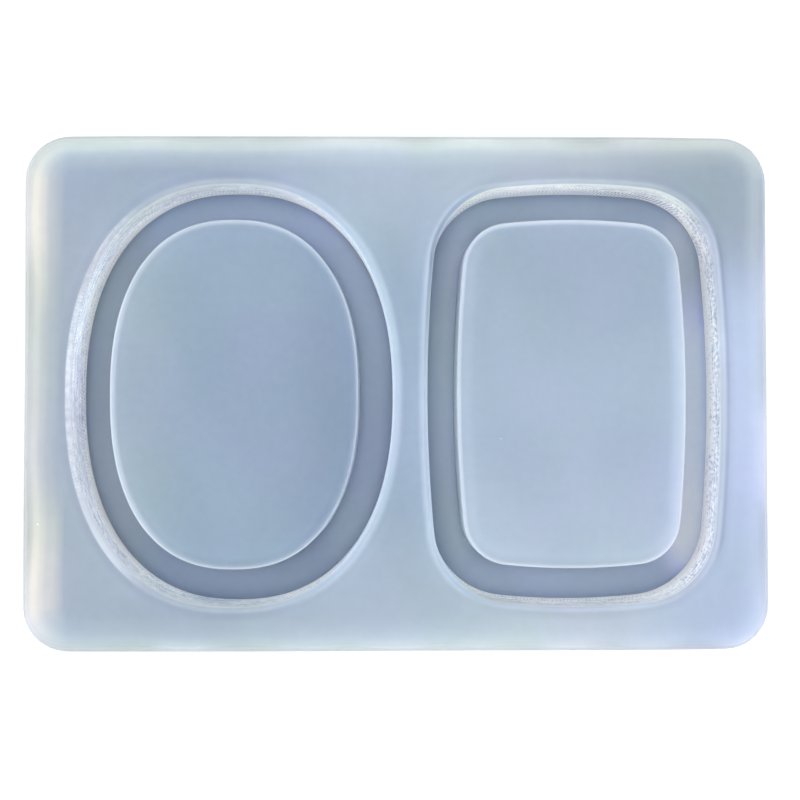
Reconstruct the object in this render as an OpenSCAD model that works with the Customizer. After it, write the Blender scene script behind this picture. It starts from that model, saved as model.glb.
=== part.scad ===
// Two-cavity silicone mould for casting resin dishes: one oval, one rectangle with bowed sides.
// Every cavity is a pocket with a flat-topped core in its middle. Resin fills the channel
// round the core and a thin sheet over it, and comes out as a dish with a rim.
// The mould lies on z = 0 with its open side up. X runs along its length, Y across it.
// The origin is the middle of the underside.

/* [Slab] */
// Length of the slab, along X
slab_l = 176; // [170:1:220]
// Width of the slab, along Y
slab_w = 122; // [116:1:160]
// Thickness of the slab, from the underside to the open face
slab_t = 17.5; // [16:0.5:26]
// Radius of the four upright corners
corner_r = 10.6; // [4:0.2:14]
// Round on the slab's outer edges, top and bottom
edge_r = 1; // [0.4:0.1:2]
// Width of the rib between the two cavities
rib_w = 8; // [6:0.5:12]

/* [Cavities] */
// Depth of both cavities, from the open face to the floor of the channel
cavity_depth = 12.5; // [8:0.5:13]
// Length of both cavities, along Y
cavity_l = 100.5; // [94:0.5:102]
// Width of the oval cavity, along X
oval_w = 76; // [70:0.5:78]
// Width of the rectangular cavity at its middle, along X
rect_w = 70; // [64:0.5:72]
// Radius of the rectangular cavity's corners
rect_corner_r = 18.6; // [14:0.2:22]
// How far the rectangle's long sides bow outward
side_bow = 1.45; // [0.5:0.05:3]
// How far the rectangle's short ends bow outward
end_bow = 0.8; // [0.3:0.05:2]
// Fullness of the oval: 2 is a true ellipse, larger is squarer
oval_fullness = 2.31; // [2:0.01:2.6]
// Round on the rim of both cavities
lip_r = 1.3; // [0.4:0.1:1.6]

/* [Cores] */
// How far the top of the cores lies under the open face: the thickness of the cast dish's bottom
core_drop = 3.3; // [2:0.1:6]
// Width of the channel at the oval's sides and ends: the thickness of the cast rim
oval_channel_w = 8.4; // [6:0.1:12]
// Width of the channel along the rectangle's long sides
rect_channel_w = 7.5; // [6:0.1:11]
// Width of the channel at the rectangle's ends
rect_end_channel_w = 8.4; // [6:0.1:12]
// How much wider the cores are at their foot, on each side
core_draft = 0.35; // [0:0.05:0.8]
// Round on the top edge of the cores
core_edge_r = 0.4; // [0.2:0.05:1]

/* [Hidden] */
$fn = 48;

// Heights of the channel floor and of the cores' tops
floor_z = slab_t - cavity_depth;
core_z = slab_t - core_drop;

// Both cavities stand the same distance in from the ends of the slab
border_x = (slab_l - oval_w - rect_w - rib_w) / 2;
oval_x = -slab_l / 2 + border_x + oval_w / 2;
rect_x = slab_l / 2 - border_x - rect_w / 2;
// The two walls meet halfway across the rib
split_x = oval_x + oval_w / 2 + rib_w / 2;

// Outlines: points round one loop, and steps round one edge
loop_n = 96;
edge_n = 4;

// ---- outlines -----------------------------------------------------------

// x to the power p, with the sign of x kept
function spow(x, p) = x == 0 ? 0 : sign(x) * pow(abs(x), p);

// Squared-off ellipse with half widths a and b, grown outward by d along its normals
function oval_loop(a, b, n, d = 0) = [
    for (i = [0:loop_n - 1])
        let (t = 360 * (i + 0.5) / loop_n,
             x = a * spow(cos(t), 2 / n),
             y = b * spow(sin(t), 2 / n),
             nx = spow(x / a, n - 1) / a,
             ny = spow(y / b, n - 1) / b,
             k = norm([nx, ny]))
        [x + d * nx / k, y + d * ny / k]
];

// Radius of the arc that bows by h over a half chord of c
function bow_radius(c, h) = (c * c + h * h) / (2 * h);

// One quarter of the bowed rectangle, anticlockwise: half of a side, a corner, half of an end.
// (cx, cy) is the corner's centre, r its radius, and bx and by the bows of the side and the end.
function bowed_quarter(cx, cy, r, bx, by) =
    let (rs = bow_radius(cy, bx), re = bow_radius(cx, by),
         as = asin(cy / rs), ae = asin(cx / re),
         n = loop_n / 4, ns = floor(n / 4), nc = n - 2 * ns)
    concat(
        [for (i = [0:ns - 1]) let (t = as * (i + 0.5) / ns)
            [cx + bx - rs + (rs + r) * cos(t), (rs + r) * sin(t)]],
        [for (i = [0:nc - 1]) let (t = as + (90 - ae - as) * (i + 0.5) / nc)
            [cx + r * cos(t), cy + r * sin(t)]],
        [for (i = [0:ns - 1]) let (t = ae * (1 - (i + 0.5) / ns))
            [(re + r) * sin(t), cy + by - re + (re + r) * cos(t)]]
    );

// Rectangle with half widths a and b, corner radius r and bowed sides, grown outward by d
function bowed_loop(a, b, r, d = 0) =
    let (q = bowed_quarter(a - r - side_bow, b - r - end_bow, r + d, side_bow, end_bow),
         m = len(q))
    concat(
        q,
        [for (i = [0:m - 1]) [-q[m - 1 - i][0], q[m - 1 - i][1]]],
        [for (p = q) -p],
        [for (i = [0:m - 1]) [q[m - 1 - i][0], -q[m - 1 - i][1]]]
    );

function oval_cavity(d = 0) = oval_loop(oval_w / 2, cavity_l / 2, oval_fullness, d);
function rect_cavity(d = 0) = bowed_loop(rect_w / 2, cavity_l / 2, rect_corner_r, d);
function oval_core_loop(d = 0) =
    oval_loop(oval_w / 2 - oval_channel_w, cavity_l / 2 - oval_channel_w, oval_fullness + 0.06, d);
function rect_core_loop(d = 0) =
    bowed_loop(rect_w / 2 - rect_channel_w, cavity_l / 2 - rect_end_channel_w,
               rect_corner_r - rect_channel_w, d);

// ---- lofts --------------------------------------------------------------

// Closed solid through a list of loops, lowest first: each entry is [height, loop]
module loft(layers) {
    n = len(layers[0][1]);
    m = len(layers);
    polyhedron(
        points = [for (s = layers) for (p = s[1]) [p[0], p[1], s[0]]],
        faces = concat(
            [[for (i = [0:n - 1]) i]],
            [for (k = [0:m - 2]) for (i = [0:n - 1])
                let (j = (i + 1) % n)
                [k * n + i, (k + 1) * n + i, (k + 1) * n + j, k * n + j]],
            [[for (i = [n - 1:-1:0]) (m - 1) * n + i]]
        )
    );
}

// Steps of the rim's round: [distance outward, height under the open face]
function lip_steps() = [for (i = [0:edge_n])
    let (t = 90 * i / edge_n) [lip_r * (1 - cos(t)), lip_r * (1 - sin(t))]];

// Steps of a core's top edge: [distance inward, height under the core's top]
function core_steps() = [for (i = [0:edge_n - 1])
    let (t = 90 * i / (edge_n - 1)) [core_edge_r * (1 - cos(t)), core_edge_r * (1 - sin(t))]];

module oval_pocket() {
    loft(concat(
        [[floor_z - 1, oval_cavity()]],
        [for (s = lip_steps()) [slab_t - s[1], oval_cavity(s[0])]],
        [[slab_t + 1, oval_cavity(lip_r)]]
    ));
}

module rect_pocket() {
    loft(concat(
        [[floor_z - 1, rect_cavity()]],
        [for (s = lip_steps()) [slab_t - s[1], rect_cavity(s[0])]],
        [[slab_t + 1, rect_cavity(lip_r)]]
    ));
}

// ---- slab ---------------------------------------------------------------

// Outer section of the slab from height z0 to z1 and from distance 0 to w: its outer edge is
// rounded at the bottom if low is true and at the top if high is true
module edge_section(w, z0, z1, low, high) {
    difference() {
        translate([0, z0]) square([w, z1 - z0]);
        if (high) translate([w - edge_r, z1 - edge_r]) square(edge_r + 1);
        if (low) translate([w - edge_r, z0 - 1]) square(edge_r + 1);
    }
    if (high) translate([w - edge_r, z1 - edge_r]) circle(edge_r);
    if (low) translate([w - edge_r, z0 + edge_r]) circle(edge_r);
}

// Quarter of a round corner, with its centre at the origin and its round side towards +X +Y
module corner_piece(z0, z1, low, high) {
    rotate_extrude(angle = 90, $fn = 96) edge_section(corner_r, z0, z1, low, high);
}

// Straight edge strip along X from 0 to len, corner_r deep, with its outer side towards +Y
module side_piece(len, z0, z1, low, high) {
    rotate([90, 0, 90]) linear_extrude(len) edge_section(corner_r, z0, z1, low, high);
}

// End of the slab towards +X: from x0 to the slab's end, between the heights z0 and z1
module slab_end(x0, z0, z1, low, high) {
    x1 = slab_l / 2 - corner_r;
    y1 = slab_w / 2 - corner_r;
    translate([x0, -y1, z0]) cube([x1 - x0, 2 * y1, z1 - z0]);
    translate([x1, y1, 0]) corner_piece(z0, z1, low, high);
    translate([x1, -y1, 0]) rotate(-90) corner_piece(z0, z1, low, high);
    translate([x1, y1, 0]) rotate(-90) side_piece(2 * y1, z0, z1, low, high);
    translate([x0, y1, 0]) side_piece(x1 - x0, z0, z1, low, high);
    translate([x1, -y1, 0]) rotate(180) side_piece(x1 - x0, z0, z1, low, high);
}

// ---- the mould's regions ------------------------------------------------

// Flat sheet under everything: the floor of both channels
module base_sheet() {
    color([0.66, 0.73, 0.80]) {
        slab_end(0, 0, floor_z, true, false);
        rotate(180) slab_end(0, 0, floor_z, true, false);
    }
}

// Wall round the oval cavity, out to the slab's outside and to the middle of the rib
module oval_wall() {
    color([0.78, 0.83, 0.88])
    difference() {
        rotate(180) slab_end(-split_x, floor_z, slab_t, false, true);
        translate([oval_x, 0, 0]) oval_pocket();
    }
}

// Wall round the rectangular cavity, out to the slab's outside and to the middle of the rib
module rectangle_wall() {
    color([0.78, 0.83, 0.88])
    difference() {
        slab_end(split_x, floor_z, slab_t, false, true);
        translate([rect_x, 0, 0]) rect_pocket();
    }
}

// Flat-topped core in the oval cavity
module oval_core() {
    color([0.71, 0.78, 0.85])
    translate([oval_x, 0, 0]) loft(concat(
        [[floor_z, oval_core_loop(core_draft)]],
        [for (s = core_steps()) [core_z - s[1], oval_core_loop(-s[0])]]
    ));
}

// Flat-topped core in the rectangular cavity
module rectangle_core() {
    color([0.74, 0.80, 0.87])
    translate([rect_x, 0, 0]) loft(concat(
        [[floor_z, rect_core_loop(core_draft)]],
        [for (s = core_steps()) [core_z - s[1], rect_core_loop(-s[0])]]
    ));
}

base_sheet();
oval_wall();
rectangle_wall();
oval_core();
rectangle_core();
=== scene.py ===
import math

import bmesh
import bpy
import numpy as np
from mathutils import Matrix, Vector


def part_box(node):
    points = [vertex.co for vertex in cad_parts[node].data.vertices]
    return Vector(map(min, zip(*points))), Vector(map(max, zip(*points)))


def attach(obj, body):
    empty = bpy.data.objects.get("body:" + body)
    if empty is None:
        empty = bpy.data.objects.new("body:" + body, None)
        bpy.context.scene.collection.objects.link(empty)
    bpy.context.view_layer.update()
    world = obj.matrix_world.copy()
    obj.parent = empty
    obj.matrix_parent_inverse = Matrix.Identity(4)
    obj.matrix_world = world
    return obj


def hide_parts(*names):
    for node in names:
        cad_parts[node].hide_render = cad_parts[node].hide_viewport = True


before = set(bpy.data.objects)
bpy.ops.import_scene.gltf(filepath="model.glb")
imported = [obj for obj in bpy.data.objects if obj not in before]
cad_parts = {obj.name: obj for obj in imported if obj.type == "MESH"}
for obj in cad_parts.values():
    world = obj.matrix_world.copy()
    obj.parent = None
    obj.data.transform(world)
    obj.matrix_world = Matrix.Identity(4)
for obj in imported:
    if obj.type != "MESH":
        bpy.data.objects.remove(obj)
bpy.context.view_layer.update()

MM = 0.001

# ---------------------------------------------------------------------------
# Sizes in millimetres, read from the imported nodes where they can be
# ---------------------------------------------------------------------------
sheet_lo, sheet_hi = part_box("base_sheet")
wall_lo, wall_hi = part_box("oval_wall")
core_lo, core_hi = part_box("oval_core")
rcore_lo, rcore_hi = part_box("rectangle_core")

HALF_L = sheet_hi.x / MM            # 88
HALF_W = sheet_hi.y / MM            # 61
TOP = wall_hi.z / MM                # 17.5
FLOOR = sheet_hi.z / MM             # 5
CORE_TOP = core_hi.z / MM           # 14.2
SPLIT = wall_hi.x / MM              # 3
OVAL_X = (core_lo.x + core_hi.x) / 2 / MM
RECT_X = (rcore_lo.x + rcore_hi.x) / 2 / MM
CORNER_R, EDGE_R, LIP_R = 10.6, 1.0, 1.3
CAV_L, OVAL_W, RECT_W = 100.5, 76.0, 70.0
FULL = 2.31
DRAFT = 0.35

rng = np.random.default_rng(7)


def smooth(x, a, b):
    t = np.clip((x - a) / (b - a), 0, 1)
    return t * t * (3 - 2 * t)


# ---------------------------------------------------------------------------
# Outlines as points and normals at given directions from the cavity's middle
# ---------------------------------------------------------------------------
def superellipse(th, a, b, n):
    c, s = np.cos(th), np.sin(th)
    r = (np.abs(c / a) ** n + np.abs(s / b) ** n) ** (-1 / n)
    p = np.c_[r * c, r * s]
    g = np.c_[np.sign(p[:, 0]) * np.abs(p[:, 0] / a) ** (n - 1) / a,
              np.sign(p[:, 1]) * np.abs(p[:, 1] / b) ** (n - 1) / b]
    return p, g / np.linalg.norm(g, axis=1)[:, None]


def bowed(th, a, b, r, bx=1.45, by=0.8):
    """Rectangle with bowed sides and round corners, one arc for each side, corner and end."""
    cx, cy = a - r - bx, b - r - by
    rs = (cy * cy + bx * bx) / (2 * bx)
    re = (cx * cx + by * by) / (2 * by)
    c, s = np.abs(np.cos(th)), np.abs(np.sin(th))
    sx, sy = np.sign(np.cos(th)), np.sign(np.sin(th))
    sx[sx == 0], sy[sy == 0] = 1, 1
    a_s, a_e = math.asin(cy / rs), math.asin(cx / re)
    best = None
    out = np.zeros((len(th), 2))
    nrm = np.zeros((len(th), 2))
    for px, py, rad in ((cx + bx - rs, 0, rs + r), (cx, cy, r), (0, cy + by - re, re + r)):
        t = (px * c + py * s) + np.sqrt(np.maximum(rad ** 2 - (px * s - py * c) ** 2, 0))
        q = np.c_[t * c, t * s]
        n = (q - [px, py]) / rad
        ang = np.arctan2(n[:, 1], n[:, 0])
        if (px, py) == (cx, cy):
            ok = (ang >= a_s - 1e-9) & (ang <= math.pi / 2 - a_e + 1e-9)
        elif py == 0:
            ok = ang < a_s
        else:
            ok = ang > math.pi / 2 - a_e
        out[ok], nrm[ok] = q[ok], n[ok]
    return out * np.c_[sx, sy], nrm * np.c_[sx, sy]


def rounded_box(cx, th, inset, side):
    """Where a ray from (cx, 0) leaves the half slab on that side (-1 left, +1 right), with the slab's
    outline moved in by inset, its outward normal, and whether the point is on the split line."""
    hl, hw, r = HALF_L - inset, HALF_W - inset, CORNER_R - inset
    c, s = np.cos(th), np.sin(th)
    out, nrm, on_split = np.zeros((len(th), 2)), np.zeros((len(th), 2)), np.zeros(len(th), bool)
    ex = side * hl
    for k in range(len(th)):
        hits = []
        if c[k] * side > 1e-12:
            hits.append(((ex - cx) / c[k], (side, 0), False))
        if c[k] * -side > 1e-12:
            hits.append(((SPLIT - cx) / c[k], (-side, 0), True))
        if abs(s[k]) > 1e-12:
            hits.append((hw / abs(s[k]), (0, np.sign(s[k])), False))
        t, n, sp = min(hits, key=lambda h: h[0])
        p = np.array([cx + t * c[k], t * s[k]])
        # corner arc
        kx, ky = side * (hl - r), np.sign(s[k]) * (hw - r)
        if (p[0] - kx) * side > 0 and (p[1] - ky) * np.sign(s[k]) > 0:
            ox, oy = cx - kx, -ky
            b = ox * c[k] + oy * s[k]
            t = -b + math.sqrt(max(b * b - (ox * ox + oy * oy - r * r), 0))
            p = np.array([cx + t * c[k], t * s[k]])
            n = ((p[0] - kx) / r, (p[1] - ky) / r)
            sp = False
        out[k], nrm[k], on_split[k] = p, n, sp
    return out, nrm, on_split


# ---------------------------------------------------------------------------
# Mesh builder: rows of points, welded where they meet
# ---------------------------------------------------------------------------
class Builder:
    def __init__(self):
        self.co, self.faces = [], []
        self.att = {}
        self.n = 0

    def row(self, xyz, **att):
        """Adds a row of vertices with their attributes and returns their indices."""
        k = len(xyz)
        self.co.append(np.asarray(xyz, float))
        for name in ATTS:
            v = att.get(name, 0.0)
            self.att.setdefault(name, []).append(np.broadcast_to(np.asarray(v, float), (k,)).copy())
        vec = att.get("wall_p")
        self.att.setdefault("wall_p", []).append(np.zeros((k, 3)) if vec is None else np.asarray(vec, float))
        ids = np.arange(self.n, self.n + k)
        self.n += k
        return ids

    def band(self, a, b, closed=True):
        """Quads between two rows; b lies outward or upward of a for an anticlockwise loop seen from outside."""
        k = len(a)
        for i in range(k if closed else k - 1):
            j = (i + 1) % k
            self.faces.append((a[i], b[i], b[j], a[j]))

    def fan(self, centre, ring):
        k = len(ring)
        for i in range(k):
            self.faces.append((centre, ring[i], ring[(i + 1) % k]))


ATTS = ("m_top", "m_lip", "m_wall", "m_floor", "m_cwall", "m_core", "m_side", "m_under",
        "edge_d", "rim_d", "core_d", "rect", "chan_t", "dir_x", "dir_y", "along", "glow", "lit", "cloud", "cloud2")
B = Builder()

N_SPLIT, N_OUT = 100, 220        # steps along the split line and round the outside of each half


def ridges(s, length, z, seed):
    """Marks on a cavity wall, in mm along its normal: long shallow ridges one above the other, broken
    and bent here and there, as a layered master leaves them."""
    r = np.random.default_rng(seed)
    u = 2 * math.pi * s / length
    bend = sum(r.uniform(0.15, 0.5) * np.sin(k * u + r.uniform(0, 6.28)) for k in (1, 2, 3, 5, 8, 13))
    # layer lines, even round the whole wall and stronger in some stretches
    gate = 0.75 + 0.25 * np.sin(4 * u + 1.3) * np.sin(9 * u + 0.4)
    out = 0.026 * gate * np.sin(2 * math.pi * z / 1.16 + bend)
    # broader, less even steps
    out += 0.022 * np.sin(2 * math.pi * z / 3.1 + 1.7 * bend + 0.8) * np.sin(11 * u + z / 2.3 + 2.0)
    # short marks across and along
    for k in range(26):
        waves = r.integers(25, 120)
        zf = r.uniform(0.25, 0.7)
        amp = 0.0022 * (0.4 + r.random())
        out += amp * np.sin(waves * u + 2 * math.pi * zf * z + r.uniform(0, 6.28))
    return out


def top_dip(x, y):
    """How far the open face lies under its highest level, in mm: never above it."""
    d = 0.030 + 0.018 * np.sin(x / 21.0 + 0.6) * np.cos(y / 17.0) + 0.012 * np.sin((x - y) / 9.5 + 1.1)
    return np.clip(d, 0, 0.08)


def fade(d, a, b):
    return 1 - smooth(d, a, b)


# Painted light on the cavity walls: how much lighter or darker their colour is painted, by the direction from the
# cavity's middle in degrees:
# low on the wall, high on the wall, and on the rim's round
PAINTED_WALL_LIGHT = (
    # oval
    ((0, 1.05, 1.05, 0.95), (22, 1.25, 1.05, 0.95), (45, 2.0, 1.2, 0.95), (62, 1.9, 1.1, 1.0), (76, 1.15, 1.05, 0.95),
     (90, 1.0, 1.0, 0.9), (105, 1.1, 0.8, 0.85), (120, 1.45, 0.85, 0.8), (135, 1.25, 1.1, 0.6),
     (155, 1.25, 1.25, 0.8), (180, 1.0, 1.1, 0.8), (195, 1.05, 0.9, 0.7), (222, 1.8, 1.05, 0.75),
     (240, 1.45, 0.95, 0.9), (262, 0.85, 1.0, 0.95), (300, 1.55, 1.05, 1.0), (330, 1.05, 1.0, 0.95)),
    # rectangle
    ((0, 1.3, 1.0, 0.95), (20, 1.4, 1.15, 1.05), (45, 1.0, 1.0, 0.95), (60, 1.1, 0.9, 0.85), (76, 0.95, 0.9, 0.95),
     (95, 1.4, 0.95, 1.0), (107, 1.45, 1.0, 1.0), (120, 0.9, 0.7, 0.8), (136, 0.7, 0.7, 0.5), (150, 0.8, 0.75, 0.6),
     (175, 1.0, 0.8, 0.8), (210, 0.9, 0.8, 0.8), (240, 1.0, 0.9, 1.0), (270, 1.0, 1.0, 1.1), (285, 1.0, 1.0, 1.15),
     (302, 1.4, 1.2, 1.0), (330, 1.1, 1.15, 0.95), (345, 1.3, 1.15, 0.95)),
)


def painted_wall_light(th, rect, z):
    stops = np.array(PAINTED_WALL_LIGHT[int(rect)])
    low, high, rim = (np.interp(np.degrees(th), stops[:, 0], stops[:, k], period=360) for k in (1, 2, 3))
    out = low + (high - low) * smooth(z, 7.0, 11.5)
    return out + (rim - out) * smooth(z, TOP - LIP_R - 0.4, TOP - LIP_R + 0.5)


def core_glow(d, n, rect):
    """How much paler the core's top is painted than its middle, at a distance d in from its edge: a painted
    highlight where light gathers in the corner between its top and its side, most of all on the side turned to the end
    of the slab."""
    l, r = np.clip(-n[:, 0], 0, 1) ** 2, np.clip(n[:, 0], 0, 1) ** 2
    t, b = np.clip(n[:, 1], 0, 1) ** 2, np.clip(-n[:, 1], 0, 1) ** 2
    low_part = 1 - 0.6 * smooth(n[:, 1], 0.02, 0.5)
    if rect:
        return (l * (0.42 * fade(d, 0.6, 1.1) + 0.22 * fade(d, 0.8, 4.6)) + r * 0.40 * fade(d, 0.2, 4.6) * low_part
                + t * (0.55 * fade(d, 0.3, 1.5) + 0.14 * fade(d, 0.8, 3.0))
                + b * (0.40 * fade(d, 0.3, 1.0) + 0.07 * fade(d, 0.8, 4.5)))
    return (l * (1 - 0.45 * smooth(n[:, 1], 0.1, 0.7)) * (0.34 * fade(d, 0.2, 0.6) + 0.34 * fade(d, 0.7, 1.9) + 0.08 * fade(d, 1.2, 3.2)) + r * 0.07 * fade(d, 0.3, 3.0)
            + t * (0.34 * fade(d, 0.3, 1.4) + 0.14 * fade(d, 0.6, 2.6))
            + b * (0.30 * fade(d, 0.2, 0.9) + 0.06 * fade(d, 0.5, 2.0)))


def half(side):
    """One half of the casting: everything from the middle of the core out to the edge of the open face."""
    rect = 1.0 if side > 0 else 0.0
    cx = RECT_X if side > 0 else OVAL_X
    dist = abs(SPLIT - cx)
    # directions: first along the split line, then round the outside
    tmax = math.atan2(HALF_W - EDGE_R, 40.5)
    ys = 40.5 * np.tan(np.linspace(-tmax, tmax, N_SPLIT + 1))
    ys *= (HALF_W - EDGE_R) / ys[-1]
    if side < 0:
        th_s = np.arctan2(ys, dist)                     # from -a to a, facing +X
        th = np.concatenate([th_s, np.linspace(th_s[-1], 2 * math.pi + th_s[0], N_OUT + 1)[1:-1]])
    else:
        th_s = np.arctan2(-ys, -dist)                   # facing -X, anticlockwise
        th_s = np.mod(th_s, 2 * math.pi)
        th = np.concatenate([th_s, np.linspace(th_s[-1], th_s[0] + 2 * math.pi, N_OUT + 1)[1:-1]])
    if rect:
        wall_f = lambda: bowed(th, RECT_W / 2, CAV_L / 2, 18.6)
        core_f = lambda: bowed(th, RECT_W / 2 - 7.5, CAV_L / 2 - 8.4, 11.1)
    else:
        wall_f = lambda: superellipse(th, OVAL_W / 2, CAV_L / 2, FULL)
        core_f = lambda: superellipse(th, OVAL_W / 2 - 8.4, CAV_L / 2 - 8.4, FULL + 0.06)
    wp, wn = wall_f()
    cp, cn = core_f()
    # the masters of the walls and of the cores sat a little off the box's middle line
    cy = -0.15 if rect else -0.26
    wp = wp + ([cx + 0.26, -0.46] if rect else [cx + 0.04, -0.54])
    cp = cp + [cx, cy]
    mid = np.array([cx, cy])
    seg = np.linalg.norm(np.roll(wp, -1, 0) - wp, axis=1)
    length = seg.sum()
    LOOP[int(rect)] = length
    s = np.concatenate([[0], np.cumsum(seg)[:-1]])
    ang = 2 * math.pi * s / length
    R = length / (2 * math.pi)

    def at(p, z, core=False, **k):
        p = np.asarray(p)
        z = np.broadcast_to(z, (len(p),))
        wall_p = np.c_[R * np.cos(ang), R * np.sin(ang), z]
        n = cn if core else wn
        return B.row(np.c_[p, z], rect=rect, wall_p=wall_p, dir_x=n[:, 0], dir_y=n[:, 1], along=s, **k)

    prev = None

    def join(ids):
        nonlocal prev
        if prev is not None:
            B.band(prev, ids)
        prev = ids
        return ids

    # the core's top: from its middle out to the edge round
    er = 0.40
    middle = B.row([[cx, cy, CORE_TOP - 0.035]], rect=rect, m_core=1.0, core_d=28.0,
                   wall_p=[[0, 0, CORE_TOP]])[0]
    inner = cp - cn * er
    ts = [0.09, 0.2, 0.32, 0.44, 0.55, 0.65, 0.74, 0.81, 0.86, 0.895, 0.92, 0.94, 0.955, 0.967, 0.977, 0.985,
          0.992, 1.0]
    for t in ts:
        q = mid + (inner - mid) * t
        d = np.linalg.norm(inner - q, axis=1) * np.abs(((inner - mid) * cn).sum(1)) / np.linalg.norm(inner - mid, axis=1)
        dip = 0.035 * smooth(d, 0.0, 9.0) * (0.8 + 0.2 * np.sin(q[:, 0] / 7.0 + q[:, 1] / 11.0))
        # painted highlight along the core's edge
        ids = at(q, CORE_TOP - dip, True, m_core=1.0, core_d=d + er, glow=core_glow(d + er, cn, rect))
        if prev is None:
            B.fan(middle, ids)
        join(ids)
    for k in range(1, 6):
        a = math.pi / 2 * k / 5
        join(at(inner + cn * er * math.sin(a), CORE_TOP - er * (1 - math.cos(a)), True,
                m_core=1.0 - k / 5, m_cwall=k / 5, core_d=er * (1 - math.sin(a)),
                glow=core_glow(er * (1 - math.sin(a)) + 0 * s, cn, rect)))
    # the core's wall, with its draft, and the fillet at its foot
    fr = 0.16
    zs = np.linspace(CORE_TOP - er, FLOOR + fr, 7)[1:]
    for z in zs:
        d = DRAFT * (CORE_TOP - z) / (CORE_TOP - FLOOR)
        join(at(cp + cn * d, z, True, m_cwall=1.0, core_d=-d))
    d0 = DRAFT * (CORE_TOP - FLOOR - fr) / (CORE_TOP - FLOOR)
    for k in range(1, 5):
        a = math.pi / 2 * k / 4
        join(at(cp + cn * (d0 + fr * (1 - math.cos(a))), FLOOR + fr * (1 - math.sin(a)), True,
                m_cwall=1 - k / 4, m_floor=k / 4, core_d=-d0 - fr * k / 4, chan_t=0.0))
    # the channel's floor
    foot_in = cp + cn * (d0 + fr)
    wr = 0.14
    foot_out = wp - wn * wr
    for t in (0.12, 0.28, 0.45, 0.62, 0.78, 0.9, 1.0):
        q = foot_in + (foot_out - foot_in) * t
        join(at(q, FLOOR + 0.02 * math.sin(math.pi * t), m_floor=1.0, chan_t=t))
    # the fillet at the wall's foot, the ridged wall and the rounded rim
    for k in range(1, 4):
        a = math.pi / 2 * k / 3
        join(at(foot_out + wn * wr * math.sin(a), FLOOR + wr * (1 - math.cos(a)),
                m_floor=1 - k / 3, m_wall=k / 3, chan_t=1.0, lit=painted_wall_light(th, rect, FLOOR)))
    z0, z1 = FLOOR + wr, TOP - LIP_R
    rows = 56
    for z in np.linspace(z0, z1, rows)[1:]:
        bare = smooth(z, z0, z0 + 0.5) * (1 - smooth(z, z1 - 1.6, z1 - 0.2))
        d = ridges(s, length, z, 11 + int(rect)) * bare
        join(at(wp + wn * np.clip(d, -0.09, 0.09)[:, None], z, m_wall=1.0, rim_d=-(TOP - z),
                lit=painted_wall_light(th, rect, z)))
    for k in range(1, 8):
        a = math.pi / 2 * k / 7
        q = wp + wn * LIP_R * (1 - math.cos(a))
        # painted highlight on the rim's round, strongest on the side facing the rib, fading out onto the open face
        inner_rim = np.clip(-side * wn[:, 0], 0, 1) ** 1.5
        if rect:
            inner_rim *= 0.8 - 0.4 * smooth(q[:, 1], 26.0, 40.0)
        z = z1 + LIP_R * math.sin(a) - top_dip(q[:, 0], q[:, 1]) * smooth(k / 7, 0.3, 1)
        join(at(q, z, m_lip=1.0 if k < 7 else 0.6, m_wall=max(0, 1 - k / 2), m_top=0 if k < 7 else 0.4,
                rim_d=-LIP_R * math.cos(a), lit=painted_wall_light(th, rect, z1 + LIP_R * math.sin(a)), glow=inner_rim * (0.17 + 0.70 * fade(k / 7, 0.0, 0.75))))
    lip = wp + wn * LIP_R
    # the open face, out to where the outer edge's round begins
    bp, bn, sp = rounded_box(cx, th, EDGE_R, side)
    span = np.linalg.norm(bp - lip, axis=1)
    ts = [0.03, 0.07, 0.12, 0.19, 0.27, 0.36, 0.45, 0.55, 0.64, 0.73, 0.81, 0.88, 0.94, 1.0]
    for i, t in enumerate(ts):
        q = lip + (bp - lip) * t
        if t == 1.0:
            # the split line is shared, so its points are set exactly
            q = bp.copy()
        rim = span * t * np.abs(((bp - lip) * wn).sum(1)) / np.maximum(span, 1e-6)
        hx = HALF_L - np.abs(q[:, 0])
        hy = HALF_W - np.abs(q[:, 1])
        ux, uy = np.maximum(CORNER_R - hx, 0), np.maximum(CORNER_R - hy, 0)
        ed = np.where((ux > 0) & (uy > 0), CORNER_R - np.hypot(ux, uy), np.minimum(hx, hy))
        # painted highlight spilling from the rim onto the open face on the rib's side
        join(at(q, TOP - top_dip(q[:, 0], q[:, 1]), m_top=1.0, rim_d=rim, edge_d=ed,
                glow=0.17 * inner_rim * fade(rim, -0.4, 1.9)))
    return prev, bp, bn, sp, th


def welded(ids_a, ids_b):
    for a, b in zip(ids_a, ids_b):
        weld[b] = a


weld = {}
LOOP = [0.0, 0.0]
left_ids, left_bp, left_bn, left_sp, _ = half(-1)
right_ids, right_bp, right_bn, right_sp, _ = half(+1)
# split line: the left half runs up it, the right half runs down it
ls = left_ids[:N_SPLIT + 1]
rs = right_ids[:N_SPLIT + 1][::-1]
welded(ls, rs)

# the outside, once round anticlockwise: from the lower end of the split line along the right half,
# then from its upper end along the left half
loop_ids = list(right_ids[N_SPLIT:]) + [right_ids[0]]          # lower end ... upper end of the right half
loop_bp = list(right_bp[N_SPLIT:]) + [right_bp[0]]
loop_bn = list(right_bn[N_SPLIT:]) + [right_bn[0]]
loop_ids += list(left_ids[N_SPLIT + 1:])
loop_bp += list(left_bp[N_SPLIT + 1:])
loop_bn += list(left_bn[N_SPLIT + 1:])
loop_ids = [weld.get(i, i) for i in loop_ids]
bp = np.array(loop_bp)
bn = np.array(loop_bn)
bn[0] = (0, -1)
bn[np.argmin(np.hypot(bp[:, 0] - SPLIT, bp[:, 1] - (HALF_W - EDGE_R)))] = (0, 1)

prev = np.array(loop_ids)
seg = np.linalg.norm(np.roll(bp, -1, 0) - bp, axis=1)
so = np.concatenate([[0], np.cumsum(seg)[:-1]])
lo = seg.sum()


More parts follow.
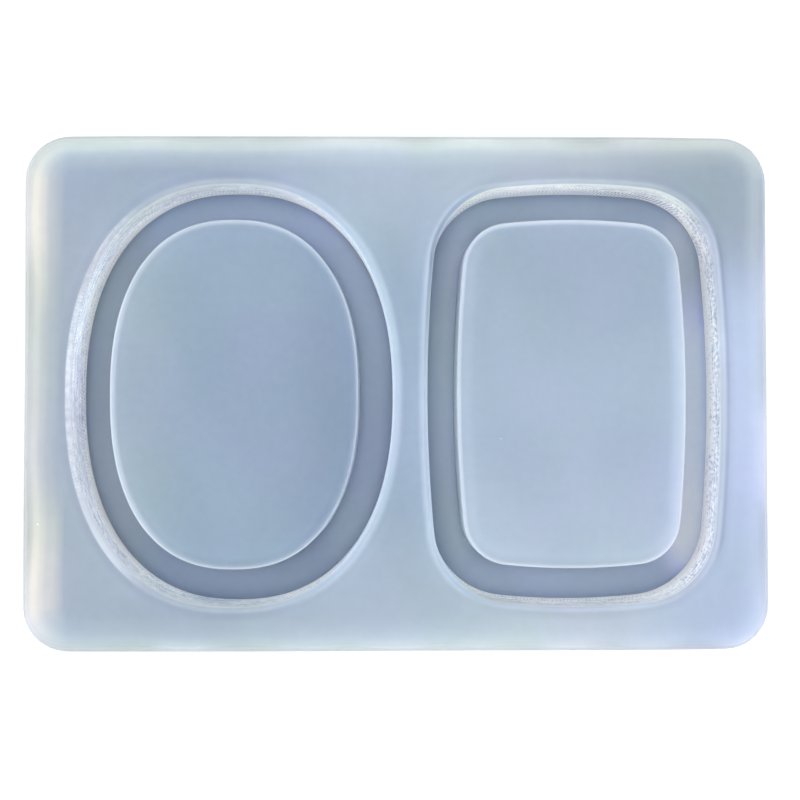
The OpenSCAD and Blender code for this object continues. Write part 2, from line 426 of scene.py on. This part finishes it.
def outer(d, z, **k):
    global prev
    q = bp + bn * np.broadcast_to(d, (len(bp),))[:, None]
    a = 2 * math.pi * so / lo
    ids = B.row(np.c_[q, np.broadcast_to(z, (len(q),))],
                wall_p=np.c_[lo / 6.2832 * np.cos(a), lo / 6.2832 * np.sin(a), np.broadcast_to(z, (len(q),))], **k)
    B.band(prev, ids)
    prev = ids
    return q


for k in range(1, 7):
    a = math.pi / 2 * k / 6
    dip = top_dip(bp[:, 0], bp[:, 1]) * (1 - k / 6)
    outer(EDGE_R * math.sin(a), TOP - EDGE_R * (1 - math.cos(a)) - dip, m_top=1 - k / 6, m_side=k / 6,
          edge_d=EDGE_R * (1 - math.sin(a)))
# the upright side, very slightly hollow, as a soft casting's sides are
for z in np.linspace(TOP - EDGE_R, EDGE_R, 11)[1:]:
    t = (TOP - EDGE_R - z) / (TOP - 2 * EDGE_R)
    hollow = 0.10 * math.sin(math.pi * t) * (0.8 + 0.2 * np.sin(2 * math.pi * 7 * so / lo))
    outer(EDGE_R - hollow, z, m_side=1.0)
for k in range(1, 6):
    a = math.pi / 2 * k / 5
    outer(EDGE_R * math.cos(a), EDGE_R * (1 - math.sin(a)), m_side=1 - k / 5, m_under=k / 5)
# the underside: a narrow rim that it rests on, then a very shallow hollow
spine = np.c_[np.clip(bp[:, 0], -58, 58), np.zeros(len(bp))]
for t in (0.012, 0.03, 0.055, 0.09, 0.15, 0.25, 0.4, 0.56, 0.72, 0.88):
    q = bp + (spine - bp) * t
    z = 0.16 * smooth(t, 0.02, 0.12) * (0.85 + 0.15 * np.sin(q[:, 0] / 13 + 1) * np.cos(q[:, 1] / 11))
    ids = B.row(np.c_[q, z], m_under=1.0, wall_p=np.c_[q, z])
    B.band(prev, ids)
    prev = ids
inner_under = prev

co = np.concatenate(B.co)
att = {k: np.concatenate(v) for k, v in B.att.items()}


def waves(p, size, seed):
    """Smooth unevenness between -1 and 1 over points in mm, with features about size mm across."""
    r = np.random.default_rng(seed)
    out = np.zeros(len(p))
    for _ in range(14):
        d = r.normal(size=3)
        d /= np.linalg.norm(d)
        out += np.sin(p @ d * (2 * math.pi / (size * r.uniform(0.8, 2.4))) + r.uniform(0, 6.283))
    return np.clip(out / 4.2, -1, 1)


att["cloud"] = waves(co, 32.0, 21)
att["cloud2"] = waves(co, 15.0, 22)
remap = np.arange(len(co))
for b, a in weld.items():
    remap[b] = a

# a soft slab isn't a perfect rectangle: its outline wanders in by a few tenths of a millimetre
hx, hy = HALF_L - np.abs(co[:, 0]), HALF_W - np.abs(co[:, 1])
near = np.minimum(hx, hy)
w = 1 - smooth(near, 0.5, 9.0)
pull = 0.28 * smooth(co[:, 0], 52, 88) + 0.10 * smooth(-co[:, 0], 60, 88)
co[:, 1] -= np.sign(co[:, 1]) * w * (pull * np.where(co[:, 1] > 0, 1.25, 0.8) + 0.03 * (1 + np.sin(co[:, 0] / 19.0)))
co[:, 0] -= np.sign(co[:, 0]) * w * 0.06 * (1 + np.sin(co[:, 1] / 14.0 + 0.8)) * smooth(np.abs(co[:, 0]), 70, 80) * np.where(co[:, 0] > 0, 0.3, 1.0)

mesh = bpy.data.meshes.new("silicone_casting")
faces = [tuple(int(remap[i]) for i in f) for f in B.faces]
mesh.from_pydata((co * MM).tolist(), [], faces)

for name in ATTS:
    a = mesh.attributes.new(name, "FLOAT", "POINT")
    a.data.foreach_set("value", att[name].astype(np.float32))
a = mesh.attributes.new("wall_p", "FLOAT_VECTOR", "POINT")
a.data.foreach_set("vector", att["wall_p"].astype(np.float32).ravel())

bm = bmesh.new()
bm.from_mesh(mesh)
bm.verts.ensure_lookup_table()
# close the middle of the underside
ring = [bm.verts[int(i)] for i in inner_under]
edges = [e for e in (bm.edges.get((ring[i], ring[(i + 1) % len(ring)])) for i in range(len(ring))) if e]
bmesh.ops.triangle_fill(bm, use_beauty=True, use_dissolve=False, edges=edges)
loose = [v for v in bm.verts if not v.link_faces]
bmesh.ops.delete(bm, geom=loose, context="VERTS")
bmesh.ops.recalc_face_normals(bm, faces=bm.faces)
for f in bm.faces:
    f.smooth = True
open_edges = sum(1 for e in bm.edges if len(e.link_faces) != 2)
vol = bm.calc_volume(signed=True)
bm.to_mesh(mesh)
bm.free()
print("faces", len(mesh.polygons), "tris", sum(len(p.vertices) - 2 for p in mesh.polygons),
      "open edges", open_edges, "volume cm3", round(vol * 1e6, 2))

# distance along the loop, kept on the face corners so that it runs on past the place where a loop closes
vi = np.zeros(len(mesh.loops), np.int32)
mesh.loops.foreach_get("vertex_index", vi)
sv = np.zeros(len(mesh.vertices), np.float32)
mesh.attributes["along"].data.foreach_get("value", sv)
rv = np.zeros(len(mesh.vertices), np.float32)
mesh.attributes["rect"].data.foreach_get("value", rv)
sc = sv[vi]
start = np.zeros(len(mesh.polygons), np.int32)
mesh.polygons.foreach_get("loop_start", start)
top = np.maximum.reduceat(sc, start)
low = np.minimum.reduceat(sc, start)
count = np.diff(np.append(start, len(vi)))
wraps = np.repeat(top - low > 100, count)
sc = np.where(wraps & (sc < 100), sc + np.where(rv[vi] > 0.5, LOOP[1], LOOP[0]), sc)
a = mesh.attributes.new("run", "FLOAT", "CORNER")
a.data.foreach_set("value", sc.astype(np.float32))

casting = bpy.data.objects.new("silicone_casting", mesh)
bpy.context.scene.collection.objects.link(casting)
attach(casting, "root")
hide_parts("base_sheet", "oval_wall", "rectangle_wall", "oval_core", "rectangle_core")


# ---------------------------------------------------------------------------
# Material
# ---------------------------------------------------------------------------
def lin(r, g, b):
    f = lambda c: c / 255 / 12.92 if c / 255 <= 0.04045 else ((c / 255 + 0.055) / 1.055) ** 2.4
    return (f(r), f(g), f(b), 1.0)


class Nodes:
    def __init__(self, tree):
        self.t = tree
        self.n = tree.nodes
        self.n.clear()

    def new(self, kind, **k):
        node = self.n.new(kind)
        for a, v in k.items():
            setattr(node, a, v)
        return node

    def link(self, a, b):
        self.t.links.new(a, b)

    def attr(self, name, vector=False):
        node = self.new("ShaderNodeAttribute", attribute_type="GEOMETRY", attribute_name=name)
        return node.outputs["Vector" if vector else "Fac"]

    def math(self, op, a, b=None, c=None, clamp=False):
        node = self.new("ShaderNodeMath", operation=op, use_clamp=clamp)
        for i, v in enumerate((a, b, c)):
            if v is None:
                continue
            if isinstance(v, (int, float)):
                node.inputs[i].default_value = v
            else:
                self.link(v, node.inputs[i])
        return node.outputs[0]

    def ramp(self, fac, stops, interp="EASE"):
        node = self.new("ShaderNodeValToRGB")
        node.color_ramp.interpolation = interp
        el = node.color_ramp.elements
        el[0].position, el[0].color = stops[0]
        el[1].position, el[1].color = stops[-1]
        for pos, col in stops[1:-1]:
            e = el.new(pos)
            e.color = col
        self.link(fac, node.inputs["Fac"])
        return node.outputs["Color"]

    def remap(self, v, a, b, c=0.0, d=1.0, kind="SMOOTHSTEP"):
        node = self.new("ShaderNodeMapRange", interpolation_type=kind, clamp=True)
        self.link(v, node.inputs["Value"])
        for n, x in zip(("From Min", "From Max", "To Min", "To Max"), (a, b, c, d)):
            node.inputs[n].default_value = x
        return node.outputs["Result"]

    def mix(self, fac, a, b, blend="MIX"):
        node = self.new("ShaderNodeMix", data_type="RGBA", blend_type=blend, clamp_factor=True)
        for sock, v in ((node.inputs["Factor"], fac), (node.inputs[6], a), (node.inputs[7], b)):
            if isinstance(v, (int, float)):
                sock.default_value = v
            elif isinstance(v, tuple):
                sock.default_value = v
            else:
                self.link(v, sock)
        return node.outputs[2]

    def mix_node(self, fac, a, b):
        return self.math("ADD", a, self.math("MULTIPLY", fac, self.math("SUBTRACT", b, a)))

    def mix_value(self, fac, a, b):
        return self.math("ADD", self.math("MULTIPLY", fac, b - a), a)

    def noise(self, vec, scale, detail=3.0, rough=0.5, dims="3D"):
        node = self.new("ShaderNodeTexNoise", noise_dimensions=dims)
        node.inputs["Scale"].default_value = scale
        node.inputs["Detail"].default_value = detail
        node.inputs["Roughness"].default_value = rough
        self.link(vec, node.inputs["Vector"])
        return node.outputs["Fac"]

    def scaled(self, vec, s):
        node = self.new("ShaderNodeVectorMath", operation="MULTIPLY")
        self.link(vec, node.inputs[0])
        node.inputs[1].default_value = s
        return node.outputs[0]


mat = bpy.data.materials.new("silicone")
mat.use_nodes = True
g = Nodes(mat.node_tree)
out = g.new("ShaderNodeOutputMaterial")
bsdf = g.new("ShaderNodeBsdfPrincipled")
g.link(bsdf.outputs[0], out.inputs["Surface"])

obj_co = g.new("ShaderNodeTexCoord").outputs["Object"]
xyz = g.new("ShaderNodeSeparateXYZ")
g.link(obj_co, xyz.inputs[0])
X, Y, Z = xyz.outputs

m_wall, m_floor, m_cwall = g.attr("m_wall"), g.attr("m_floor"), g.attr("m_cwall")
m_core, m_side, m_under, m_lip = g.attr("m_core"), g.attr("m_side"), g.attr("m_under"), g.attr("m_lip")
edge_d, rim_d, core_d, rect, chan_t = (g.attr("edge_d"), g.attr("rim_d"), g.attr("core_d"),
                                       g.attr("rect"), g.attr("chan_t"))
dir_x, dir_y, glow, run = g.attr("dir_x"), g.attr("dir_y"), g.attr("glow"), g.attr("run")

# Tints of the casting's regions, with light and shade painted in. The rubber is one colour; how much light it holds
# depends on how thick it is and how near an outer face is, so thin floors are painted deeper and edges paler,
# and each face also carries painted light and shade from the way light falls on it.
TINT = {
    # open face, along its back strip, the rib and its front strip: painted light, lighter and darker stretches where
    # light falls across it
    "back_1": (153, 163, 180), "back_2": (149, 160, 174), "back_3": (163, 176, 186), "back_4": (160, 169, 178),
    "back_5": (146, 157, 167),
    "mid_1": (153, 162, 173), "mid_2": (148, 161, 177), "mid_3": (167, 177, 196),
    "front_1": (156, 166, 179), "front_2": (151, 161, 174), "front_3": (159, 170, 183), "front_4": (167, 177, 184),
    "front_5": (161, 174, 189),
    # pale tints of the painted light along the slab's outer edges
    "ivory": (196, 195, 189), "pale": (193, 202, 200), "pale_blue": (178, 183, 199),
    "pale_grey": (179, 185, 182),
    # tint of the painted highlights
    "glow": (202, 215, 232),
    # painted highlights on the rims' rounds, by side
    "rim_left": (199, 205, 217), "rim_back": (156, 167, 176), "rim_front": (156, 166, 179),
    "rim_right": (161, 170, 186), "rim_rib": (141, 158, 178),
    # painted light on the cavity walls: a low and a high tint for each side
    "high_oval_left": (189, 195, 204), "high_oval_back": (192, 199, 204), "high_oval_front": (187, 193, 198),
    "high_rect_right": (177, 185, 196), "high_rect_back": (216, 222, 220), "high_rect_front": (187, 193, 197),
    "high_rib": (190, 204, 222),
    "low_oval_left": (229, 232, 241), "low_oval_back": (241, 245, 250), "low_oval_front": (224, 233, 239),
    "low_rect_right": (254, 254, 254), "low_rect_back": (254, 254, 254), "low_rect_front": (250, 254, 254),
    "low_rib": (200, 214, 232),
    # painted light and shade on the channel floors, for each side of each channel
    "floor_oval_left": (162, 175, 189), "floor_oval_right": (168, 182, 200), "floor_oval_back": (167, 182, 207),
    "floor_oval_front": (154, 168, 191),
    "floor_rect_left_in": (191, 205, 218), "floor_rect_left_out": (161, 177, 195),
    "floor_rect_right": (207, 215, 245), "floor_rect_corner": (183, 195, 208), "floor_rect_corner_front": (218, 225, 249),
    "floor_rect_back": (168, 184, 202), "floor_rect_front": (168, 181, 204),
    "core_wall": (197, 204, 211),
    # painted light across the core tops
    "core_oval_left": (151, 164, 175), "core_oval": (144, 159, 175), "core_oval_right": (136, 151, 167),
    "core_rect_back": (151, 165, 178), "core_rect": (158, 170, 186), "core_rect_front": (163, 175, 188),
    "side": (165, 176, 188), "under": (168, 181, 196),
}
T = {k: lin(*v) for k, v in TINT.items()}


def tint(v):
    return T[v] if isinstance(v, str) else v


def over(coord, a, b, first, second):
    """From the first tint at coord = a mm to the second at b mm."""
    return g.mix(g.remap(coord, a * MM, b * MM), tint(first), tint(second))


def strip(coord, a, b, stops):
    """Tints along coord, from a to b mm; stops are (position in mm, tint)."""
    return g.ramp(g.remap(coord, a * MM, b * MM, kind="LINEAR"), [((p - a) / (b - a), T[n]) for p, n in stops], "EASE")


def by_side(names, soft=0.25):
    """Tint picked by the way the nearest outline faces: names are left, right, front, back."""
    left, right, front, back = (tint(v) for v in names)
    ends = g.mix(g.remap(dir_x, -soft, soft), left, right)
    sides = g.mix(g.remap(dir_y, -soft, soft), front, back)
    return g.mix(g.remap(g.math("SUBTRACT", g.math("ABSOLUTE", dir_y), g.math("ABSOLUTE", dir_x)), -0.35, 0.35),
                 ends, sides)


# slow unevenness in the rubber, and a coordinate that wanders a little with it
cloud, cloud2 = g.attr("cloud"), g.attr("cloud2")
fine = g.noise(obj_co, 420.0, 1.0, 0.55)

# distance in from the slab's outline, in mm, and how much of it lies towards an end
out_x = g.math("MAXIMUM", g.math("SUBTRACT", CORNER_R - HALF_L, g.math("MULTIPLY", g.math("ABSOLUTE", X), -1 / MM)), 0.0)
out_y = g.math("MAXIMUM", g.math("SUBTRACT", CORNER_R - HALF_W, g.math("MULTIPLY", g.math("ABSOLUTE", Y), -1 / MM)), 0.0)
near_edge = g.math("SUBTRACT", CORNER_R, g.math("SQRT", g.math("ADD", g.math("POWER", out_x, 2.0), g.math("POWER", out_y, 2.0))))
near_edge = g.math("ADD", near_edge, g.math("MULTIPLY", cloud2, 0.42))
at_end = g.math("DIVIDE", out_x, g.math("ADD", g.math("ADD", out_x, out_y), 0.001))


def profile(stops):
    """How far the outer band is lifted towards its pale tint, over the distance in from the outline: painted light, as
    light that comes in through the slab's sides.
    """
    return g.ramp(g.math("DIVIDE", near_edge, 10.0, clamp=True), [(p / 10.0, (v, v, v, 1)) for p, v in stops], "EASE")


# painted light across the open face: tints that change along X and from back to front
back = strip(X, -88, 88, [(-80, "back_1"), (-46, "back_2"), (-4, "back_3"), (40, "back_4"), (76, "back_5")])
rib = strip(X, -88, 88, [(-82, "mid_1"), (3, "mid_2"), (84, "mid_3")])
front = strip(X, -88, 88, [(-80, "front_1"), (-48, "front_2"), (-4, "front_3"), (44, "front_4"), (78, "front_5")])
deep = g.mix(g.remap(Y, 22 * MM, 56 * MM), rib, back)
deep = g.mix(g.math("MULTIPLY", g.remap(X, 50 * MM, 80 * MM), g.remap(Y, 16 * MM, 46 * MM)), deep, back)
deep = over(Y, -18, -58, deep, front)
# painted light along the outline: each end and side has its own profile, the left end lifted most
lift_left = profile([(0.0, 0.70), (1.5, 0.46), (3.0, 0.60), (4.4, 0.38), (6.6, 0.18), (8.8, 0.0)])
lift_left_lit = profile([(0.0, 0.84), (1.5, 0.66), (3.0, 1.0), (4.6, 0.80), (6.4, 0.42), (8.0, 0.26), (9.6, 0.0)])
lift_left_front = profile([(0.0, 0.74), (1.5, 0.62), (3.0, 1.0), (4.7, 0.80), (6.0, 0.62), (7.4, 0.60), (8.5, 0.40), (9.2, 0.22), (10.0, 0.0)])
lift_left_lit = g.mix(g.remap(Y, 0.0, -0.020), lift_left_lit, lift_left_front)
lit = g.math("MAXIMUM", g.remap(Y, 0.012, 0.040), g.remap(Y, -0.016, -0.040))
lift_left = g.mix(lit, lift_left, lift_left_lit)
lift_right = profile([(0.0, 0.42), (1.5, 0.34), (3.0, 0.30), (4.3, 0.12), (6.0, 0.07), (8.6, 0.0)])
lift_back = profile([(0.0, 1.0), (1.3, 0.90), (2.8, 0.66), (4.1, 0.36), (5.4, 0.22), (8.8, 0.0)])
lift_front = profile([(0.0, 0.80), (1.3, 0.50), (2.6, 0.30), (4.0, 0.14), (5.6, 0.10), (8.8, 0.0)])
lift_right_back = profile([(0.0, 0.05), (1.4, 0.08), (2.4, 0.20), (3.5, 0.28), (4.7, 0.15), (6.0, 0.0), (8.6, 0.0)])
lift_right = g.mix(g.remap(Y, 0.010, 0.036), lift_right, lift_right_back)
lift_end = g.mix(g.remap(X, -0.02, 0.02), lift_left, lift_right)
lift_side = g.mix(g.remap(Y, -0.02, 0.02), lift_front, lift_back)
lift = g.mix(at_end, lift_side, lift_end)
# the pale tints of that painted light, by end and side
pale_end = g.mix(g.remap(X, -0.02, 0.02), T["ivory"], over(Y, 12, 44, "pale_blue", "pale_grey"))
pale_c = g.mix(at_end, over(X, 20, 84, "pale", over(Y, -20, 20, "pale_blue", "pale_grey")), pale_end)
face = g.mix(lift, deep, pale_c)
# painted shade: light gathers at an edge by itself, so the tint there is held back and painted darker
edge_painted_shade = g.ramp(g.math("DIVIDE", near_edge, 5.0, clamp=True),
             [(p / 5.0, (v, v, v, 1)) for p, v in ((0.0, 0.56), (0.9, 0.70), (1.7, 0.84), (2.6, 0.95), (3.8, 1.0))], "EASE")
face = g.mix(1.0, face, edge_painted_shade, "MULTIPLY")
# painted shade: the open face darker within 2.4 mm of a cavity's rim, less where the painted highlight lies
rim_painted_shade = g.math("MULTIPLY", g.remap(rim_d, 2.4, 0.0), g.math("SUBTRACT", 1.0, g.remap(glow, 0.0, 0.12)))
face = g.mix(g.math("MULTIPLY", rim_painted_shade, 0.9), face, g.mix(1.0, face, (0.86, 0.86, 0.88, 1), "MULTIPLY"))
rim_line = g.math("MULTIPLY", g.math("MULTIPLY", rect, g.remap(dir_x, 0.90, 0.995)), g.remap(rim_d, 0.75, 0.05))
face = g.mix(g.math("MULTIPLY", rim_line, g.remap(m_core, 1.0, 0.0)), face, g.mix(1.0, face, (0.84, 0.84, 0.86, 1), "MULTIPLY"))
# painted highlight near the rims
face = g.mix(glow, face, T["glow"])

# painted light across the core tops: lighter or darker from one end to the other
core_oval = over(X, -66, -45, "core_oval_left", "core_oval")
core_oval = over(X, -30, -12, core_oval, "core_oval_right")
core_rect = over(Y, 38, -2, "core_rect_back", "core_rect")
core_rect = over(Y, -5, -40, core_rect, "core_rect_front")
core_c = g.mix(rect, core_oval, core_rect)
# painted shade: the core's top darker within 3.2 mm of its edge
core_c = g.mix(g.remap(core_d, 3.2, 0.3), core_c, g.mix(1.0, core_c, (0.80, 0.80, 0.82, 1), "MULTIPLY"))
# painted highlight along the core's edge
core_c = g.mix(glow, core_c, T["glow"])
# painted light and shade on the channel floors: lighter or darker by side and across the channel
floor_rect_left = g.mix(g.remap(chan_t, 0.0, 1.0), T["floor_rect_left_in"], T["floor_rect_left_out"])
floor_rect_right = over(Y, 10, 30, "floor_rect_right", "floor_rect_corner")
floor_rect_right = over(Y, -12, -32, floor_rect_right, "floor_rect_corner_front")
floor_c = g.mix(rect,
                by_side(("floor_oval_left", "floor_oval_right", "floor_oval_front", "floor_oval_back"), 0.6),
                by_side((floor_rect_left, floor_rect_right, "floor_rect_front", "floor_rect_back"), 0.6))


def wall_tint(level):
    return g.mix(rect, by_side((level + "_oval_left", level + "_rib", level + "_oval_front", level + "_oval_back")),
                 by_side((level + "_rib", level + "_rect_right", level + "_rect_front", level + "_rect_back")))


# the cavity walls: layer lines along them, broken into short streaks, with fine cross marks; the streaks are partly
# the wall's own marks and partly painted glints
z_mm = g.math("DIVIDE", Z, MM)
run_mm = run
wall_uv = g.new("ShaderNodeCombineXYZ")
g.link(run_mm, wall_uv.inputs[0])
g.link(z_mm, wall_uv.inputs[1])
uv = wall_uv.outputs[0]
long_streak = g.noise(g.scaled(uv, (0.11, 1.15, 1.0)), 1.0, 2.0, 0.62, "2D")
short_streak = g.noise(g.scaled(uv, (0.62, 1.9, 1.0)), 1.0, 1.0, 0.6, "2D")
patch = g.noise(g.scaled(uv, (0.075, 0.22, 1.0)), 1.0, 0.0, 0.5, "2D")
wander = g.math("MULTIPLY", g.noise(g.scaled(uv, (0.25, 0.5, 1.0)), 1.0, 0.0, 0.5, "2D"), 5.0)
weave = g.math("MULTIPLY", g.math("SINE", g.math("ADD", g.math("MULTIPLY", run_mm, 7.4), wander)),
               g.math("SINE", g.math("ADD", g.math("MULTIPLY", z_mm, 2.3), wander)))
slant = g.math("SINE", g.math("ADD", g.math("ADD", g.math("MULTIPLY", run_mm, 7.0), g.math("MULTIPLY", z_mm, 1.5)), wander))
low_zone = g.math("MULTIPLY", g.remap(z_mm, 5.2, 6.2), g.remap(z_mm, 10.2, 8.6))
mid_zone = g.math("MULTIPLY", g.remap(z_mm, 6.5, 8.5), g.math("MAXIMUM", g.remap(z_mm, 15.2, 13.4), g.remap(dir_x, -0.5, -0.8)))
by_left = g.math("MULTIPLY", g.math("SUBTRACT", 1.0, rect), g.remap(dir_x, -0.5, -0.8))
over_lip = g.math("MULTIPLY", by_left, g.remap(dir_y, -0.50, -0.20))
bare = g.math("MULTIPLY", g.remap(z_mm, 5.1, 5.9), g.math("MAXIMUM", g.remap(z_mm, 16.0, 14.4), over_lip))
patchy = g.remap(patch, 0.38, 0.62)
by_right = g.math("MULTIPLY", rect, g.remap(dir_x, 0.3, 0.8))
crackle = g.noise(g.scaled(uv, (1.25, 0.42, 1.0)), 1.0, 2.0, 0.65, "2D")
marks = g.math("ADD", g.math("MULTIPLY", g.math("SUBTRACT", long_streak, 0.51), g.mix_value(by_right, 1.1, 1.5)),
               g.math("MULTIPLY", g.math("SUBTRACT", short_streak, 0.51), 1.0))
marks = g.math("ADD", marks, g.math("MULTIPLY", g.math("MULTIPLY", weave, 0.15), g.math("MULTIPLY", mid_zone, patchy)))
marks = g.math("ADD", marks, g.math("MULTIPLY", g.math("SUBTRACT", crackle, 0.46), g.math("MULTIPLY", by_right, 1.7)))
hatched = g.math("MULTIPLY", rect, g.remap(dir_y, 0.55, 0.9))
marks = g.math("ADD", marks, g.math("MULTIPLY", g.math("MULTIPLY", slant, g.mix_value(hatched, 0.12, 0.62)), low_zone))
marks = g.math("SUBTRACT", marks, g.math("MULTIPLY", g.math("MULTIPLY", hatched, low_zone), 0.20))
marks = g.math("MULTIPLY", marks, bare)
# painted light: the walls' tints from low to high, then the painted light for each direction round the cavity
wall_c = g.mix(g.remap(z_mm, 6.0, 14.5, kind="LINEAR"), wall_tint("low"), wall_tint("high"))
# a mark takes more red than blue out of the rubber's colour
shade_rgb = g.new("ShaderNodeCombineColor")
for i, k in enumerate((0.45, 0.41, 0.34)):
    g.link(g.remap(marks, -0.5, 0.5, 1 - k, 1 + k, kind="LINEAR"), shade_rgb.inputs[i])
wall_c = g.mix(1.0, wall_c, shade_rgb.outputs[0], "MULTIPLY")
lit_rgb = g.new("ShaderNodeCombineColor")
for i in range(3):
    g.link(g.attr("lit"), lit_rgb.inputs[i])
lit_rgb = lit_rgb.outputs[0]
wall_c = g.mix(1.0, wall_c, lit_rgb, "MULTIPLY")
wall_c = g.mix(1.0, wall_c, (0.965, 0.985, 0.995, 1), "DARKEN")

# painted highlights on the rims' rounds: a tint for each side and for the rib's side, with the painted highlight and
# the walls' painted light on top
rim_c = by_side(("rim_left", "rim_right", "rim_front", "rim_back"))
rim_rib = g.mix(rect, g.remap(dir_x, 0.15, 0.7), g.remap(dir_x, -0.15, -0.7))
rim_c = g.mix(rim_rib, rim_c, T["rim_rib"])
rim_c = g.mix(1.0, g.mix(glow, rim_c, T["glow"]), lit_rgb, "MULTIPLY")
rim_c = g.mix(g.math("MULTIPLY", over_lip, 0.55), rim_c, g.mix(1.0, rim_c, shade_rgb.outputs[0], "MULTIPLY"))
lip_c = g.mix(g.mix_node(by_left, g.remap(rim_d, -0.75, 0.0), g.remap(rim_d, -0.22, 0.0)), rim_c, face)
c = g.mix(m_lip, face, lip_c)
c = g.mix(m_wall, c, wall_c)
c = g.mix(m_floor, c, floor_c)
c = g.mix(m_cwall, c, T["core_wall"])
c = g.mix(m_core, c, core_c)
# painted shade: the outer side's tint darker towards its top edge
side_top = g.remap(Z, 14.5 * MM, 16.8 * MM)
side_c = g.mix(side_top, T["side"], g.mix(1.0, T["side"], (0.64, 0.64, 0.66, 1), "MULTIPLY"))
c = g.mix(m_side, c, side_c)
c = g.mix(m_under, c, T["under"])

# slow tint: a touch of lavender here, of grey-green there, and a fine grain
c = g.mix(g.remap(cloud, -0.6, 0.8), c, g.mix(1.0, c, (0.985, 0.965, 1.0, 1), "MULTIPLY"))
c = g.mix(g.remap(cloud2, 0.7, -0.7), c, g.mix(1.0, c, (0.965, 0.985, 0.965, 1), "MULTIPLY"))
c = g.mix(g.remap(fine, 0.35, 0.65, kind="LINEAR"), c, g.mix(1.0, c, (0.975, 0.975, 0.978, 1), "MULTIPLY"))

# dust and tiny bubbles: a speck in a few cells only
cell = g.new("ShaderNodeTexVoronoi", feature="F1")
cell.inputs["Scale"].default_value = 120.0
cell.inputs["Randomness"].default_value = 1.0
g.link(obj_co, cell.inputs["Vector"])
cell_rgb = g.new("ShaderNodeSeparateColor")
g.link(cell.outputs["Color"], cell_rgb.inputs[0])
speck = g.math("MULTIPLY", g.remap(cell.outputs["Distance"], 0.040, 0.020), g.remap(cell_rgb.outputs[0], 0.80, 0.82))
c = g.mix(g.math("MULTIPLY", speck, 0.8), c, (0.90, 0.94, 0.98, 1))
g.link(c, bsdf.inputs["Base Color"])

# satin rubber, duller on the ridged walls
rough = g.remap(cloud2, -0.8, 0.8, 0.31, 0.41, kind="LINEAR")
rough = g.math("ADD", rough, g.math("MULTIPLY", g.math("SUBTRACT", fine, 0.5), 0.08))
rough = g.math("ADD", rough, g.math("MULTIPLY", m_wall, 0.40), clamp=True)
g.link(rough, bsdf.inputs["Roughness"])
bump = g.new("ShaderNodeBump")
bump.inputs["Strength"].default_value = 0.30
bump.inputs["Distance"].default_value = 0.00012
g.link(g.noise(obj_co, 300.0, 1.0), bump.inputs["Height"])
g.link(bump.outputs[0], bsdf.inputs["Normal"])
bsdf.inputs["IOR"].default_value = 1.41
bsdf.inputs["Subsurface Weight"].default_value = 1.0
bsdf.inputs["Subsurface Radius"].default_value = (1.0, 1.0, 1.0)
bsdf.inputs["Subsurface Scale"].default_value = 0.018
bsdf.inputs["Subsurface Anisotropy"].default_value = 0.85
mat.node_tree.nodes.active = bsdf
casting.data.materials.append(mat)

# ---------------------------------------------------------------------------
# Floor, light and camera
# ---------------------------------------------------------------------------
fm = bpy.data.meshes.new("floor")
S = 3.0
fm.from_pydata([(-S, -S, 0), (S, -S, 0), (S, S, 0), (-S, S, 0)], [], [(0, 1, 2, 3)])
floor = bpy.data.objects.new("floor", fm)
bpy.context.scene.collection.objects.link(floor)
fmat = bpy.data.materials.new("floor")
fmat.use_nodes = True
fb = fmat.node_tree.nodes["Principled BSDF"]
fb.inputs["Base Color"].default_value = (0.90, 0.90, 0.90, 1)
fb.inputs["Roughness"].default_value = 0.9
fm.materials.append(fmat)

world = bpy.data.worlds.new("studio")
bpy.context.scene.world = world
world.use_nodes = True
w = Nodes(world.node_tree)
w_out = w.new("ShaderNodeOutputWorld")
w_bg = w.new("ShaderNodeBackground")
w.link(w_bg.outputs[0], w_out.inputs["Surface"])
w_xyz = w.new("ShaderNodeSeparateXYZ")
w.link(w.new("ShaderNodeTexCoord").outputs["Generated"], w_xyz.inputs[0])
# a studio with a wide soft panel overhead and pale walls
sky = w.ramp(w_xyz.outputs[2], [(0.0, (0.95, 0.95, 0.95, 1)), (0.25, (0.80, 0.80, 0.80, 1)),
                                (0.72, (0.62, 0.63, 0.64, 1)), (0.86, (1.0, 1.0, 1.0, 1)), (1.0, (1.0, 1.0, 1.0, 1))])
w.link(sky, w_bg.inputs["Color"])
w_bg.inputs["Strength"].default_value = 1.40


def area(name, loc, size, power, colour=(1, 1, 1), aim=(0, 0, 0.01)):
    light = bpy.data.lights.new(name, "AREA")
    light.shape = "RECTANGLE"
    light.size, light.size_y = size
    light.energy = power
    light.color = colour
    o = bpy.data.objects.new(name, light)
    bpy.context.scene.collection.objects.link(o)
    o.location = loc
    o.rotation_euler = (Vector(aim) - Vector(loc)).to_track_quat("-Z", "Y").to_euler()
    return o


area("left", (-0.85, 0.10, 0.42), (0.5, 0.5), 2.9, (1.0, 0.99, 0.96))
area("right", (0.85, 0.0, 0.42), (0.5, 0.5), 2.9, (0.95, 0.97, 1.0))
area("front", (0.1, -0.85, 0.45), (0.6, 0.5), 2.2, (1.0, 1.0, 1.0))

cam_data = bpy.data.cameras.new("camera")
cam_data.sensor_width = 36
cam_data.lens = 45
cam = bpy.data.objects.new("camera", cam_data)
bpy.context.scene.collection.objects.link(cam)
ax, ay, az = (math.radians(v) for v in (-1.089, 0.616, 0.040))
Rm = (Matrix.Rotation(az, 3, "Z") @ Matrix.Rotation(ay, 3, "Y") @ Matrix.Rotation(ax, 3, "X")).transposed()
cam.matrix_world = Matrix.Translation((-1.81 * MM, -6.26 * MM, 253.62 * MM)) @ Rm.to_4x4()
cam_data.clip_start = 0.01
bpy.context.scene.camera = cam

bpy.context.scene.view_settings.view_transform = "Standard"
bpy.context.scene.view_settings.look = "None"
